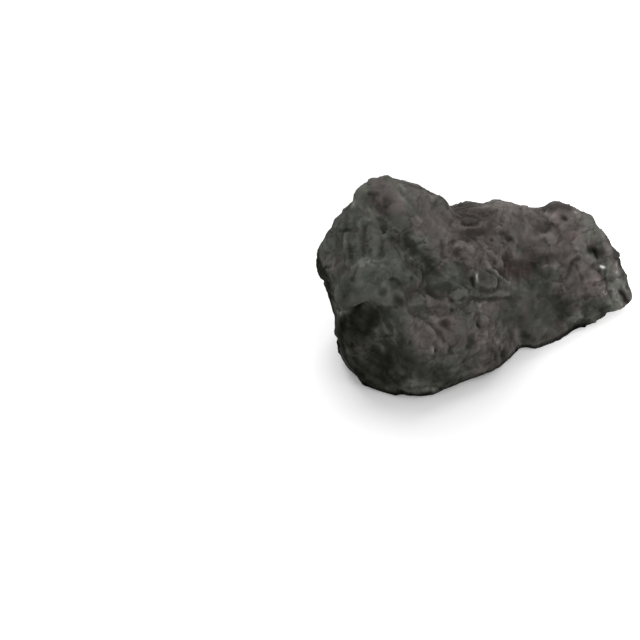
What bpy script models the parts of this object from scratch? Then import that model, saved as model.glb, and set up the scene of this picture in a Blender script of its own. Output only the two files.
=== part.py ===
"""A rough, unpolished lump of shungite, about 60 mm long, lying on a flat fracture face.

The lump is one piece, and it is built as a stone breaks. Convex blocks with named corners are joined, two
bumps are added, a wedge and some hollows are struck out, and the result is worn, given its soft ridges and
grooves, roughened and cut off flat where it rests. Every size below is in millimetres. x runs along the stone,
-y is its front and z is up. The finished stone has its origin on the ground, at the middle of its length and
depth.
"""

import math

import bmesh
import bpy
from mathutils import Euler, Matrix, Vector, noise

MM = 0.001

# Overall size of the finished lump
LENGTH = 60.0
DEPTH = 42.0
HEIGHT = 33.4

# The corners of each block. The blocks reach below the ground, where the rest face is cut last
BLOCKS = {
    "crag": [
        # the peak, and the skyline down to the notch on its right
        (-17, 2.5, 33.8), (-20.6, 1.5, 33), (-13.4, 3, 31.7), (-10, 3.5, 29), (-6.5, 4, 28.5),
        (-4.5, 5, 25.2),
        # the skyline down to the left tip
        (-22.3, 0, 29.7), (-25.8, -1.5, 27.6), (-27.4, -2, 25), (-29.9, -3.2, 20.7), (-30.5, -3.2, 17.8),
        # the brow over the left wall, and the crag's front edge
        (-26, -14, 14.5), (-23.5, -16.5, 18), (-15.5, -16.8, 17.5), (-14.5, -9.5, 25), (-5, -7, 19),
        # the left wall down to the ground
        (-24.6, -7, -4), (-25.2, -13.4, -4), (-21.6, -20.4, -4), (-15, -18.5, 2),
        # the back
        (-22.5, 8, 22), (-12, 13, 24), (-21, 12, -4), (-6, 17, 12), (-5, 16, -4),
    ],
    "middle": [
        (-15.5, -15, 16.5), (-9, -12, 16.5), (-1.5, -10, 13.5), (6.5, -5, 11.5), (8.5, 1.5, 15.5),
        (-14.5, -8.5, 24.5), (-7, 1, 24.5), (-3.5, 7, 22.9), (1, 8.5, 22.3), (6, 9.5, 21.6),
        (-14, -17, -4), (4, -12, -4), (8, -6, -4), (8, 12, -4), (-12, 15, -4), (-9, 14.5, 19), (6, 16, 14),
    ],
    "foot": [
        # the ridge beside the dark wall, and the knee of its front
        (-15, -16.2, 16.5), (-13.6, -18.5, 13.5), (-13, -20, 10.5), (-10.2, -21.3, 5), (-6.3, -20.2, 6),
        (-1.5, -17, 5), (3.5, -13.4, 4), (-9, -12.5, 16.5), (-1.5, -10.5, 13.3), (5, -7, 9),
        # the outline on the ground
        (-21.2, -21.2, -4), (-17, -22.6, -4), (-9, -21.2, -4), (-4.5, -19.2, -4), (-1, -17, -4),
        (3.8, -14.2, -4), (9.3, -11.4, -4), (11.2, -7.8, -4), (-10, 5, -4), (6, 4, -4), (-10, -8, 18),
    ],
    "slab": [
        # the skyline down to the right end
        (-4, 8, 22.1), (4.5, 10.5, 21.3), (8.5, 11, 18.5), (12.5, 12.5, 19.6), (17.5, 13.5, 19.2),
        (20, 13, 17.9), (25.3, 11.2, 15.2), (27.6, 9.5, 12.6), (29.1, 8, 10), (30.2, 6.5, 6.8),
        (31.4, 6.2, 4.6), (30.8, 7.6, 2.2),
        # the front edge of its top, and the outline on the ground
        (3.5, -4, 12.5), (9, 0, 11.8), (16, 1, 10), (24, 4.5, 7.5),
        (27, 11, -4), (21.4, 4, -4), (17.2, -5, -4), (13.4, -8.8, -4), (9.5, -7.6, -4), (-8, 0, -4),
        # the overhang of the right end
        (26.8, 5.6, 1.4), (28.6, 6.4, 1.8),
        # the back
        (-8, 17, -4), (-6, 17, 15), (8, 19.5, 10), (19, 19, 9), (20, 20, -4), (28, 13, -4), (30.2, 10.5, 5),
        (0, 21, -4),
    ],
}

# The corners of the wedge that is broken out under the brow, where the left wall stands back
WEDGE = [
    (-28, -12.8, 12.6), (-23.0, -13.2, 17.2), (-19.6, -13.8, 17.4), (-28, -28, 11.8), (-23.0, -28, 16.6),
    (-9.5, -26, 16.8), (-27, -19.4, -3), (-14.5, -23.8, -3), (-28, -28, -3), (-10, -28, -3),
]

# Bumps on the skyline and hollows struck out of the lump: the centre, the radii and the turn in degrees
BUMPS = {
    "left bump": ((5.2, 9.6, 19.8), (3.5, 4.2, 2.6), (0, 12, 0)),
    "right bump": ((15.8, 12.4, 17.7), (3.8, 3.6, 2.4), (0, 6, 0)),
}
HOLLOWS = {
    "hollow under the left tip": ((-33.0, -8.0, 6.5), (6.8, 10.0, 9.5), (0, 0, 0)),
    "pit at the right end": ((24.4, 7.2, 13.2), (1.5, 1.5, 1.8), (0, 0, 0)),
}

# Soft ridges (raised) and grooves (sunk): the points that each runs through, its half width and its height
STROKES = {
    "front ridge": (
        [(-14.8, -15.8, 16), (-13.8, -18.6, 13.5), (-13.2, -20.2, 10.5), (-10, -21.3, 5)], 2.7, 1.2,
    ),
    "shoulder of the foot": ([(-8, -17.5, 11), (0, -13.5, 9)], 6.0, 1.0),
    "front of the slab": ([(9, -4, 6), (14, -2, 6)], 5.5, 0.9),
    "first ledge": ([(-3, 1.8, 23.4), (2, 4, 22), (6, 4.2, 20.4)], 1.9, 0.6),
    "second ledge": ([(-4, -2, 22), (0, -0.5, 21.4), (4, 1.6, 19.4)], 1.7, 0.5),
    "chip": ([(1.2, -6.2, 15.2), (2.4, -5.9, 14.8)], 2.6, 0.6),
    "gully down the crag": (
        [(-18, -3.5, 29.5), (-15.5, -8, 26.8), (-10, -9.5, 21.2), (-7, -9.8, 17.5)], 4.2, -1.9,
    ),
    "hollow in the slab": ([(7.5, -0.5, 15.5), (12.5, 1.5, 14)], 4.4, -1.4),
    "notch at the foot": ([(8, -6.5, 4), (5.5, -6, 10)], 3.0, -0.8),
    "step above the foot": ([(-13, -13.5, 18), (-6, -10.5, 16)], 2.4, -0.8),
    "side of the crag": ([(-28.5, -8, 15), (-27, -12, 13.5)], 4.0, -1.7),
    "left wall": ([(-28, -4, 13.5), (-27.5, -4, 9)], 4.5, -0.9),
    "nick in the skyline": ([(-24, -1, 29.3), (-22.6, 3, 28.4)], 1.6, -0.5),
    "hollow under the right end": ([(20.5, -0.5, 0), (26, 3.5, 0)], 3.0, -0.9),
}

# Unevenness: the spacing and the height of each size of swell, and where each starts in the noise
SWELLS = ((13.0, 1.0), (6.0, 0.8), (3.2, 0.5))
SWELL_START = Vector((7.3, 2.1, 5.9))

# Scars: shallow dishes, this far apart and this deep, that meet in edges
SCAR_SPACING = 7.5
SCAR_DEPTH = 0.9

# The lump narrows where it meets the ground, by TUCK over the lowest TUCK_HEIGHT
TUCK = 1.1
TUCK_HEIGHT = 3.2

# The grid that joins the blocks, the smoothing that wears them before and after the relief, and the faces kept
GRID = 0.62
WEAR_PASSES = 6
LAST_WEAR_PASSES = 4
TRIANGLES = 9600


def mesh_object(name, shape, collection):
    mesh = bpy.data.meshes.new(name)
    shape.to_mesh(mesh)
    shape.free()
    obj = bpy.data.objects.new(name, mesh)
    collection.objects.link(obj)
    return obj


def block(name, corners, collection):
    """A convex block with these corners."""
    shape = bmesh.new()
    for corner in corners:
        shape.verts.new(Vector(corner) * MM)
    hull = bmesh.ops.convex_hull(shape, input=shape.verts)
    bmesh.ops.delete(shape, geom=hull["geom_interior"], context="VERTS")
    bmesh.ops.recalc_face_normals(shape, faces=shape.faces)
    return mesh_object(name, shape, collection)


def ball(name, centre, radii, turn, collection):
    """A ball with three radii, turned about its centre."""
    shape = bmesh.new()
    bmesh.ops.create_icosphere(shape, subdivisions=4, radius=1.0)
    bmesh.ops.scale(shape, vec=Vector(radii) * MM, verts=shape.verts)
    turned = Euler([math.radians(angle) for angle in turn]).to_matrix()
    bmesh.ops.rotate(shape, matrix=turned, verts=shape.verts)
    bmesh.ops.translate(shape, vec=Vector(centre) * MM, verts=shape.verts)
    return mesh_object(name, shape, collection)


def ground(collection):
    """A box whose top is the ground."""
    size = 4 * LENGTH * MM
    shape = bmesh.new()
    bmesh.ops.create_cube(shape, size=size)
    bmesh.ops.translate(shape, vec=(0, 0, -size / 2), verts=shape.verts)
    return mesh_object("ground", shape, collection)


def combine(stone, other, operation):
    step = stone.modifiers.new(other.name, "BOOLEAN")
    step.operation = operation
    step.object = other
    step.solver = "EXACT"
    other.hide_render = True
    other.display_type = "WIRE"


def apply_modifiers(stone):
    graph = bpy.context.evaluated_depsgraph_get()
    mesh = bpy.data.meshes.new_from_object(stone.evaluated_get(graph))
    stone.modifiers.clear()
    stone.data = mesh


def wear(stone, passes):
    step = stone.modifiers.new("wear", "SMOOTH")
    step.iterations = passes


def stroke(point, path, width, height):
    """The height that a soft ridge or groove has at a point."""
    nearest = width
    for start, end in zip(path, path[1:]):
        from_start = point - Vector(start)
        along = Vector(end) - Vector(start)
        share = min(max(from_start.dot(along) / along.length_squared, 0.0), 1.0)
        nearest = min(nearest, (from_start - along * share).length)
    return height * (1 - (nearest / width) ** 2) ** 2


def relief(point):
    """How far the surface stands out at a point."""
    height = sum(stroke(point, *values) for values in STROKES.values())
    for turn, (spacing, swell) in enumerate(SWELLS, start=1):
        height += swell * noise.noise(point / spacing + SWELL_START * turn)
    to_scar = noise.voronoi(point / SCAR_SPACING)[0][0]
    height += SCAR_DEPTH * (to_scar ** 2 - 0.3)
    low = min(max(1 - point.z / TUCK_HEIGHT, 0.0), 1.0)
    return height - TUCK * low ** 2


def roughen(stone):
    """Moves each point of the mesh out or in by the relief."""
    points = stone.data.vertices
    places = [point.co + point.normal * relief(point.co / MM) * MM for point in points]
    for point, place in zip(points, places):
        point.co = place


def fit(stone):
    """Brings the lump to its overall size, with its origin on the ground at the middle."""
    size = Vector((LENGTH, DEPTH, HEIGHT)) * MM
    low = Vector([min(point.co[axis] for point in stone.data.vertices) for axis in range(3)])
    high = Vector([max(point.co[axis] for point in stone.data.vertices) for axis in range(3)])
    scale = Matrix.Diagonal([size[axis] / (high[axis] - low[axis]) for axis in range(3)]).to_4x4()
    middle = Vector(((low.x + high.x) / 2, (low.y + high.y) / 2, low.z))
    stone.data.transform(scale @ Matrix.Translation(-middle))


def shungite():
    material = bpy.data.materials.new("shungite")
    material.use_nodes = True
    shader = material.node_tree.nodes["Principled BSDF"]
    shader.inputs["Base Color"].default_value = (0.062, 0.060, 0.055, 1.0)
    shader.inputs["Roughness"].default_value = 0.82
    shader.inputs["Metallic"].default_value = 0.0
    return material


def main():
    for obj in list(bpy.data.objects):
        bpy.data.objects.remove(obj)
    parts = bpy.data.collections.new("shungite stone")
    cutters = bpy.data.collections.new("blocks and cutters")
    for collection in (parts, cutters):
        bpy.context.scene.collection.children.link(collection)

    # The blocks and bumps are joined, and the wedge and the hollows are struck out
    first, *others = BLOCKS
    stone = block(first, BLOCKS[first], parts)
    stone.name = "shungite_stone"
    for name in others:
        combine(stone, block(name, BLOCKS[name], cutters), "UNION")
    for name, values in BUMPS.items():
        combine(stone, ball(name, *values, cutters), "UNION")
    combine(stone, block("wedge under the brow", WEDGE, cutters), "DIFFERENCE")
    for name, values in HOLLOWS.items():
        combine(stone, ball(name, *values, cutters), "DIFFERENCE")

    # The lump is worn and roughened
    remesh = stone.modifiers.new("even faces", "REMESH")
    remesh.mode = "VOXEL"
    remesh.voxel_size = GRID * MM
    wear(stone, WEAR_PASSES)
    apply_modifiers(stone)
    roughen(stone)
    wear(stone, LAST_WEAR_PASSES)

    # Flat stretches need fewer faces, and the rest face is cut last
    fewer = stone.modifiers.new("fewer faces", "DECIMATE")
    fewer.ratio = TRIANGLES / (2 * len(stone.data.polygons))
    combine(stone, ground(cutters), "DIFFERENCE")
    apply_modifiers(stone)
    fit(stone)
    stone.data.materials.clear()
    stone.data.materials.append(shungite())
    stone.data.shade_smooth()


main()
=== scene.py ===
import math

import bmesh
import bpy
import numpy as np
from mathutils import Matrix, Vector, noise
from mathutils.bvhtree import BVHTree


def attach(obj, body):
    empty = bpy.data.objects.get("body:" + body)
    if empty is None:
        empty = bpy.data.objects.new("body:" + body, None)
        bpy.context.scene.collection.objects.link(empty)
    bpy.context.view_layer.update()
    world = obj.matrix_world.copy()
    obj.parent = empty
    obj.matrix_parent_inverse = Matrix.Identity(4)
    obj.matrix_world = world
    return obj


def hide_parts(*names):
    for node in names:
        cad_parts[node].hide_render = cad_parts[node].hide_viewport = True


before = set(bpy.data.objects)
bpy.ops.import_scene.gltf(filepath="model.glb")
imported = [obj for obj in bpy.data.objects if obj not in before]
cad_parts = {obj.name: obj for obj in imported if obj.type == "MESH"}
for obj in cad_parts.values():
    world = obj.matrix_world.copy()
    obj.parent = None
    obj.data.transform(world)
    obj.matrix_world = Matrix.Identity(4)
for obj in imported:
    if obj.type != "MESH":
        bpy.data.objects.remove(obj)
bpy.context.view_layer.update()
scene = bpy.context.scene
mm = 0.001
tiny = 1e-12                  # keeps a divisor above nought

# view

view = {
    "size": 640,              # pixels, both ways
    "scale": 5.25,            # pixels to a millimetre at the aim
    "elevation": 35,          # degrees above the floor
    "distance": 600 * mm,
    "aim": (-29.113 * mm, 4.574 * mm, 0),
    "film": 36,               # sensor width
    "nearest": 10 * mm,
}


def viewAxes():
    tilt = math.radians(view["elevation"])
    right = Vector((1, 0, 0))
    up = Vector((0, math.sin(tilt), math.cos(tilt)))
    back = Vector((0, -math.cos(tilt), math.sin(tilt)))
    return right, up, back


def viewPoint():
    return Vector(view["aim"]) + viewAxes()[2] * view["distance"]


def sightLine(x, y):
    right, up, back = viewAxes()
    across = (x - view["size"] / 2) / view["scale"] * mm
    down = (y - view["size"] / 2) / view["scale"] * mm
    target = Vector(view["aim"]) + right * across - up * down
    return (target - viewPoint()).normalized()


def addCamera():
    data = bpy.data.cameras.new("camera")
    data.sensor_width = view["film"]
    seen = view["size"] / view["scale"] * mm
    data.lens = view["film"] * view["distance"] / seen
    data.clip_start = view["nearest"]
    camera = bpy.data.objects.new("camera", data)
    scene.collection.objects.link(camera)
    right, up, back = viewAxes()
    turned = Matrix((right, up, back)).transposed().to_4x4()
    camera.matrix_world = Matrix.Translation(viewPoint()) @ turned
    scene.camera = camera


# node helpers

def socketOf(sockets, key):
    if isinstance(key, int):
        return sockets[key]
    return [socket for socket in sockets if socket.name == key and socket.enabled][0]


def feed(tree, node, inputs):
    for key, value in inputs.items():
        entry = socketOf(node.inputs, key)
        if isinstance(value, bpy.types.NodeSocket):
            tree.links.new(value, entry)
        else:
            entry.default_value = value


def put(tree, kind, inputs=None, **settings):
    made = tree.nodes.new(kind)
    for key, value in settings.items():
        setattr(made, key, value)
    feed(tree, made, inputs or {})
    return made


def maths(tree, operation, *values):
    return put(tree, "ShaderNodeMath", dict(enumerate(values)), operation=operation).outputs[0]


def vectorMaths(tree, operation, *values):
    made = put(tree, "ShaderNodeVectorMath", dict(enumerate(values)), operation=operation)
    return made.outputs["Value" if operation == "DOT_PRODUCT" else "Vector"]


def ramp(tree, value, low, high, toLow=0.0, toHigh=1.0):
    inputs = {"Value": value, "From Min": low, "From Max": high, "To Min": toLow, "To Max": toHigh}
    return put(tree, "ShaderNodeMapRange", inputs, interpolation_type="SMOOTHSTEP").outputs["Result"]


# the stone's skin

skin = {
    "node": "shungite_stone",
    "facets": 0.16,            # share of the solid's faces kept, so that it breaks in flat facets
    "voxel": 0.285 * mm,
    "joinWithin": 0.001 * mm,
    "wear": 0.5,
    "wearPasses": 5,
    "seed": 1,                 # of the waver, which otherwise changes with the clock
    "wobbleSize": 1.6 * mm,    # the waver of every listed mark
    "wobble": 0.35 * mm,
    "edge": 0.35 * mm,         # how abruptly a ledge drops
    "ledgeFall": 1.3,          # the power by which its floor comes up again
    "ledgeEnds": 0.25,         # the share of its length over which each end fades
    "spread": 1.5,             # a mark fades out over this many radii
    "softPasses": 110,
    "sharp": 0.6,              # nought for round marks, one for pointed ones
    "middle": (470, 290),      # of the stone, in the view
    "search": (0.9, 1.06, 0.002),    # past the outline: from, to and step, in view distances
    "warmth": -0.1,            # browner above nought, greener below
    "markShading": 0.7,           # painted shade in a mark's hollow and painted light on its ridge: how much darker a hollow is, and lighter a ridge, to a millimetre
    # painted shade along the bottom: darker towards the floor, where the contact shadow falls
    "footShade": -2.2,
    "footHeight": 1.25 * mm,
    "rest": (0.15 * mm, 1.2 * mm),    # from no relief to all of it, going up
}


def bake(piece):
    depsgraph = bpy.context.evaluated_depsgraph_get()
    mesh = bpy.data.meshes.new_from_object(piece.evaluated_get(depsgraph), depsgraph=depsgraph)
    piece.modifiers.clear()
    piece.data = mesh


def denseSkin():
    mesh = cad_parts[skin["node"]].data.copy()
    shape = bmesh.new()
    shape.from_mesh(mesh)
    bmesh.ops.remove_doubles(shape, verts=shape.verts, dist=skin["joinWithin"])
    shape.to_mesh(mesh)
    shape.free()
    piece = bpy.data.objects.new("stoneSkin", mesh)
    scene.collection.objects.link(piece)
    facets = piece.modifiers.new("facets", "DECIMATE")
    facets.ratio = skin["facets"]
    remesh = piece.modifiers.new("remesh", "REMESH")
    remesh.mode = "VOXEL"
    remesh.voxel_size = skin["voxel"]
    worn = piece.modifiers.new("wear", "SMOOTH")
    worn.factor = skin["wear"]
    worn.iterations = skin["wearPasses"]
    bake(piece)
    return piece


def ofPoints(mesh, kind):
    flat = np.empty(len(mesh.vertices) * 3, np.float32)
    mesh.vertices.foreach_get(kind, flat)
    return flat.reshape(-1, 3).astype(float)


def setCoordinates(mesh, places):
    mesh.vertices.foreach_set("co", places.astype(np.float32).ravel())
    mesh.update()


# marks made one by one

# each one: radius and rise in millimetres (down is minus), then its path in the view's pixels
marks = {
    "calm shoulder of the peak": (3.2, 0.75, (379, 205), (384, 212)),
    "slit under the peak": (0.45, -0.35, (370, 194), (377, 194)),
    "hollow under the slit": (0.9, -0.2, (369, 197), (372, 204)),
    "dimple of the peak": (1.0, -0.1, (388, 198)),
    "upper step": (0.7, -0.22, (378, 207), (387, 208)),
    "square hollow": (0.9, -0.12, (380, 213), (387, 214)),
    "curl": (0.4, -0.3, (377, 219), (381, 223), (384, 231)),
    "nose hollow": (0.5, -0.12, (393, 237), (398, 240)),
    "peak lump": (0.7, 0.1, (390, 183)),
    "second peak lump": (0.7, 0.12, (400, 187)),
    "crest of the right face": (0.8, 0.2, (397, 195), (402, 200), (408, 206)),

    "left slit": (0.45, -0.3, (340, 231), (350, 230)),
    "left rib": (0.6, 0.3, (346, 236), (346, 245)),
    "dark furrow": (0.7, -0.25, (364, 229), (364, 246)),
    "long rib": (0.9, 0.3, (371, 229), (374, 236), (376, 250)),
    "dark panel": (1.0, -0.25, (381, 241), (383, 255)),
    "left furrow": (0.45, -0.3, (349, 247), (350, 258)),
    "lower left furrow": (0.5, -0.3, (357, 268), (353, 279)),
    "bright lump": (1.0, 0.2, (362, 263)),
    "round lump by the gully": (0.7, 0.3, (383, 267)),
    "flat lump by the gully": (0.9, 0.3, (396, 263)),
    "small lump": (0.6, 0.25, (385, 284)),
    "lump by the furrow": (0.6, 0.3, (354, 270)),
    "cap hollow": (0.5, -0.3, (391, 279), (396, 278), (399, 283)),
    "left pit": (0.5, -0.25, (371, 250)),
    "pit over the brow": (0.7, -0.3, (382, 292)),
    "pit by the tip": (0.4, -0.4, (325, 267), (330, 267)),

    "lip": (1.6, 0.4, (340, 297), (345, 305), (343, 312)),
    "under the lip": (0.8, -0.2, (341, 318), (346, 318)),
    "wall rib": (0.7, 0.25, (378, 330), (375, 341)),
    "wall bump": (0.6, 0.12, (384, 325)),
    "second wall bump": (0.7, 0.12, (387, 331)),

    "first ridge": (0.7, 0.22, (404, 318), (414, 321), (425, 325), (433, 333), (440, 343), (446, 350)),
    "second ridge": (0.6, 0.18, (422, 313), (430, 317), (438, 324), (444, 331)),
    "groove between": (0.4, -0.2, (419, 316), (429, 323), (438, 332), (444, 341)),
    "notch at the ridge": (0.7, -0.15, (408, 309), (416, 313)),
    "lobe pit": (0.9, -0.3, (445, 324)),
    "upper lobe pit": (0.5, -0.5, (452, 311)),
    "small lobe pit": (0.6, -0.6, (478, 325)),
    "broad lobe pit": (1.2, -0.35, (472, 341)),
    "lower lobe pit": (0.7, -0.4, (450, 350)),
    "tiny lobe pit": (0.4, -0.4, (436, 350)),
    "left lobe pit": (0.8, -0.35, (412, 343)),
    "lobe lump": (0.7, 0.25, (432, 349)),
    "lobe rib": (0.6, 0.35, (485, 335), (492, 345), (498, 352)),
    "upright lobe rib": (0.8, 0.25, (482, 312), (484, 330)),
    "pit over the notch": (1.0, -0.3, (504, 354)),
    "pit by the notch": (0.7, -0.3, (495, 357)),
    "bump at the notch": (0.7, 0.35, (515, 349)),
    "foot ledge": (0.9, 0.4, (405, 383), (415, 380), (428, 381)),
    "foot arc": (0.5, -0.4, (430, 388), (436, 386), (441, 388)),
    "foot notch": (0.5, -0.25, (401, 391)),

    "shelf": (1.0, 0.22, (411, 300), (420, 299), (433, 300)),
    "hollow beside the shelf": (0.9, -0.2, (396, 300), (408, 301)),
    "foot of the gully": (1.0, -0.12, (424, 289), (434, 294), (446, 287)),
    "middle of the gully": (0.8, -0.2, (424, 262), (433, 263)),
    "lower gully": (0.8, -0.15, (421, 279), (431, 275)),
    "head of the gully": (1.2, -0.35, (407, 235), (411, 242), (417, 248)),
    "gully lump": (0.6, 0.35, (403, 257)),
    "second gully lump": (0.5, 0.3, (410, 259)),
    "third gully lump": (0.8, 0.3, (409, 273)),
    "gully dot": (0.45, -0.3, (412, 279)),
    "round lump": (1.6, 0.3, (449, 276)),
    "dimple of the round lump": (0.5, -0.2, (455, 277)),
    "long crack": (0.35, -0.25, (450, 300), (470, 298), (485, 300), (497, 299), (512, 297)),
    "lip of the crack": (0.5, 0.25, (490, 293), (508, 293)),
    "lump left of the crack": (0.5, 0.12, (461, 290), (466, 295)),

    "disc": (2.2, 0.35, (488, 280)),
    "rim of the disc": (0.55, -0.35, (473, 279), (476, 286), (484, 290), (495, 291)),
    "ridge over the disc": (0.55, 0.35, (487, 265), (494, 271), (502, 278), (508, 282)),
    "right rim of the disc": (0.45, -0.3, (488, 270), (494, 274), (499, 280), (499, 287)),
    "dot of the disc": (0.4, -0.35, (491, 278)),

    "first ledge": (0.6, -0.3, (462, 216), (472, 216)),
    "second ledge": (0.5, -0.3, (462, 223), (468, 225), (477, 223), (480, 221)),
    "lip of the second ledge": (0.5, 0.25, (460, 228), (470, 228), (480, 226)),
    "third ledge": (1.2, -0.25, (467, 237), (474, 233), (482, 233)),
    "arc": (0.7, 0.35, (455, 246), (463, 244), (470, 250)),
    "long arc": (0.7, 0.25, (480, 242), (486, 250), (494, 254), (501, 263)),
    "pit of the arc": (0.6, -0.4, (453, 242)),
    "pit under the arc": (0.8, -0.35, (457, 252)),
    "left strip": (0.7, -0.35, (443, 244), (443, 255)),
    "dot of the ledges": (0.5, -0.35, (492, 240)),
    "dot of the middle": (0.45, -0.35, (464, 259)),
    "groove right of the ledges": (0.8, -0.35, (503, 233), (511, 240), (519, 246)),
    "corner of the hollow": (0.8, -0.2, (503, 257), (509, 263), (515, 262)),
    "lower corner of the hollow": (0.7, -0.25, (500, 271), (505, 274)),
    "red hollow": (1.5, -0.05, (515, 262), (528, 262), (538, 260)),
    "floor of the red hollow": (2.0, -0.15, (515, 272), (528, 270)),

    "pit of the top": (0.6, -0.35, (564, 217)),
    "twin pit of the top": (0.4, -0.4, (567, 219)),
    "left pit of the top": (0.6, -0.35, (545, 223), (551, 224)),
    "long pit of the top": (0.8, -0.3, (537, 228), (548, 231)),
    "short pit of the top": (0.5, -0.4, (555, 227)),
    "bumps of the top": (0.5, 0.2, (541, 235), (551, 235)),
    "furrow of the top": (0.7, -0.15, (545, 255), (560, 261), (568, 266)),
    "green ledge": (0.6, 0.2, (540, 267), (548, 264), (558, 266)),
    "green hollow": (1.2, -0.1, (537, 272), (553, 273)),
    "lower green hollow": (1.1, -0.2, (530, 283), (545, 284)),
    "pit of the front": (0.6, -0.3, (538, 297)),
    "dark dish": (2.2, -0.25, (556, 295), (562, 310)),
    "arrow": (0.6, -0.4, (573, 262), (577, 259)),
    "left shaft": (0.4, -0.3, (573, 265), (566, 278)),
    "right shaft": (0.4, -0.3, (577, 265), (582, 279)),
    "low pit": (0.8, -0.25, (519, 319)),
    "second low pit": (0.8, -0.3, (525, 335)),
    "third low pit": (0.6, -0.3, (555, 338)),
    "fourth low pit": (0.45, -0.3, (585, 314)),

    "deep pit": (0.75, -1.0, (595, 250), (597, 252)),
    "twin of the deep pit": (0.55, -0.35, (601, 254)),
    "pit under the deep pit": (0.6, -0.35, (594, 265)),
    "pit under the fleck": (0.5, -0.35, (601, 270)),
    "end furrow": (0.4, -0.3, (605, 270), (606, 289)),
    "first end rib": (0.4, 0.25, (606, 292), (611, 305)),
    "second end rib": (0.4, 0.3, (622, 281), (625, 288), (628, 296)),
    "bead of the lip": (0.5, 0.3, (338, 312), (342, 314), (347, 312), (352, 307)),
    "brow line": (0.4, -0.2, (378, 305), (396, 306)),
}

# broad corrections of the shape, written like the marks but with no tone of their own
forms = {
    "brow over the recess": (1.4, 0.6, (368, 300), (376, 300), (384, 302)),
    "low corner of the right end": (2.2, 0.9, (617, 304), (626, 299)),
    "right flank": (1.6, -0.2, (625, 278), (627, 285)),
    "hollow under the right end": (1.8, -1.6, (579, 329), (588, 325)),
    "left flank": (1.6, -0.4, (337, 344), (339, 354)),
    "notch at the foot": (1.4, -0.5, (518, 349), (527, 348)),
    "foot of the lobe": (1.5, -0.3, (488, 372), (494, 369)),
    "nick in the foot": (0.8, -0.6, (401, 395)),
    "dip over the shoulder": (1.4, 0.5, (602, 236), (607, 242)),
    "left slope of the crag": (1.2, 0.7, (337, 220)),
    "under the left tip": (1.4, 0.6, (323, 272), (327, 284)),
    "front of the foot": (2.0, 0.6, (420, 393), (432, 392)),
    "low edge of the slab": (1.6, 0.5, (548, 342), (556, 339)),
}

# softened places, each one: radius in millimetres, how soft, then its path
softs = {
    "right side of the recess": (2.4, 1.0, (377, 300), (385, 308), (391, 318), (396, 330), (400, 344)),
    "right face of the crag": (3.0, 0.3, (395, 212), (412, 216), (428, 226)),
    "peak": (2.6, 0.25, (376, 190), (392, 190)),
    "red hollow": (2.5, 0.4, (512, 262), (535, 262)),
    "lobe": (3.0, 0.25, (420, 335), (440, 345)),
}

# each one: reach and depth in millimetres, then its edge; what lies to the right of the edge sinks
ledges = {
    "brow": (2.5, 0.3, (340, 314), (345, 312), (350, 306), (355, 302), (372, 303), (386, 304),
             (398, 305)),
    "crack": (1.6, 0.22, (466, 299), (474, 298), (485, 300), (497, 299), (514, 296)),
    "disc": (1.4, 0.35, (472, 278), (476, 287), (484, 291), (497, 291)),
    "shelf": (2.5, 0.2, (410, 306), (425, 308), (440, 304)),
    "gully": (3.0, 0.22, (440, 272), (433, 258), (420, 246), (410, 232)),
    "green ledge": (2.0, 0.2, (538, 268), (548, 266), (560, 270)),
    "right end": (2.5, 0.5, (604, 300), (604, 285), (603, 270)),
}
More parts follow.
